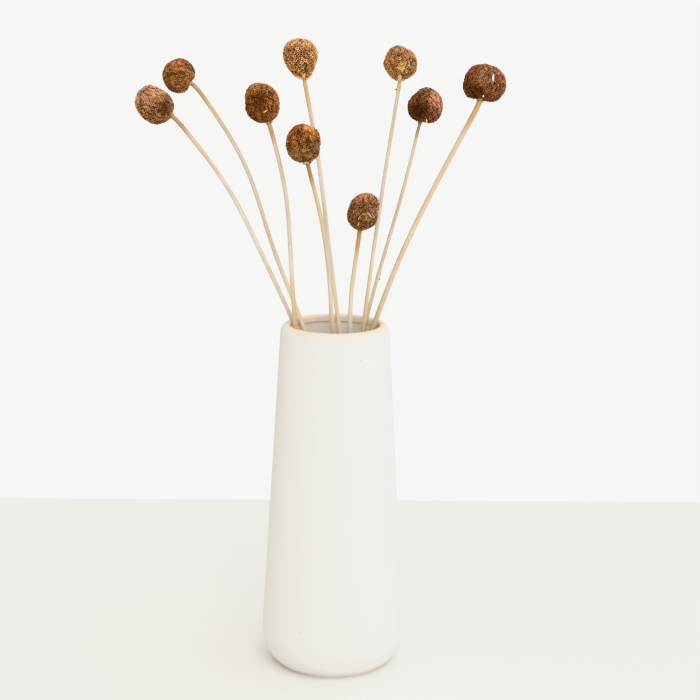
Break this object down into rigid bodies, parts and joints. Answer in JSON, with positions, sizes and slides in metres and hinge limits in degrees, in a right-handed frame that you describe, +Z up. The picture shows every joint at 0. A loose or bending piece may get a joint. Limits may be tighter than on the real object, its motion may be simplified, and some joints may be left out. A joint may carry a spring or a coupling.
{
  "type": "dried craspedia bunch in a vase",
  "caption": "Dried craspedia stems with round brown flower heads, standing loose in a tall pale matte vase that tapers to a thick rounded rim.",
  "frame": {"origin": "centre of the vase's flat foot, on the surface that it stands on", "axes": "+Z up along the vase's axis, +X to the right and -Y towards the viewer in the picture"},
  "size_m": [0.2552, 0.1024, 0.4452],
  "materials": {
    "vase": "matte bisque",
    "stem_1": "dry matte straw",
    "head_1": "dry matte florets",
    "stem_2": "dry matte straw",
    "head_2": "dry matte florets",
    "stem_3": "dry matte straw",
    "head_3": "dry matte florets",
    "stem_4": "dry matte straw",
    "head_4": "dry matte florets",
    "stem_5": "dry matte straw",
    "head_5": "dry matte florets",
    "stem_6": "dry matte straw",
    "head_6": "dry matte florets",
    "stem_7": "dry matte straw",
    "head_7": "dry matte florets",
    "stem_8": "dry matte straw",
    "head_8": "dry matte florets",
    "stem_9": "dry matte straw",
    "head_9": "dry matte florets"
  },
  "bodies": {
    "root": {"vase": "vase", "stem_1": "stem_1", "head_1": "head_1", "stem_2": "stem_2", "head_2": "head_2", "stem_3": "stem_3", "head_3": "head_3", "stem_4": "stem_4", "head_4": "head_4", "stem_5": "stem_5", "head_5": "head_5", "stem_6": "stem_6", "head_6": "head_6", "stem_7": "stem_7", "head_7": "head_7", "stem_8": "stem_8", "head_8": "head_8", "stem_9": "stem_9", "head_9": "head_9"}
  },
  "joints": []
}
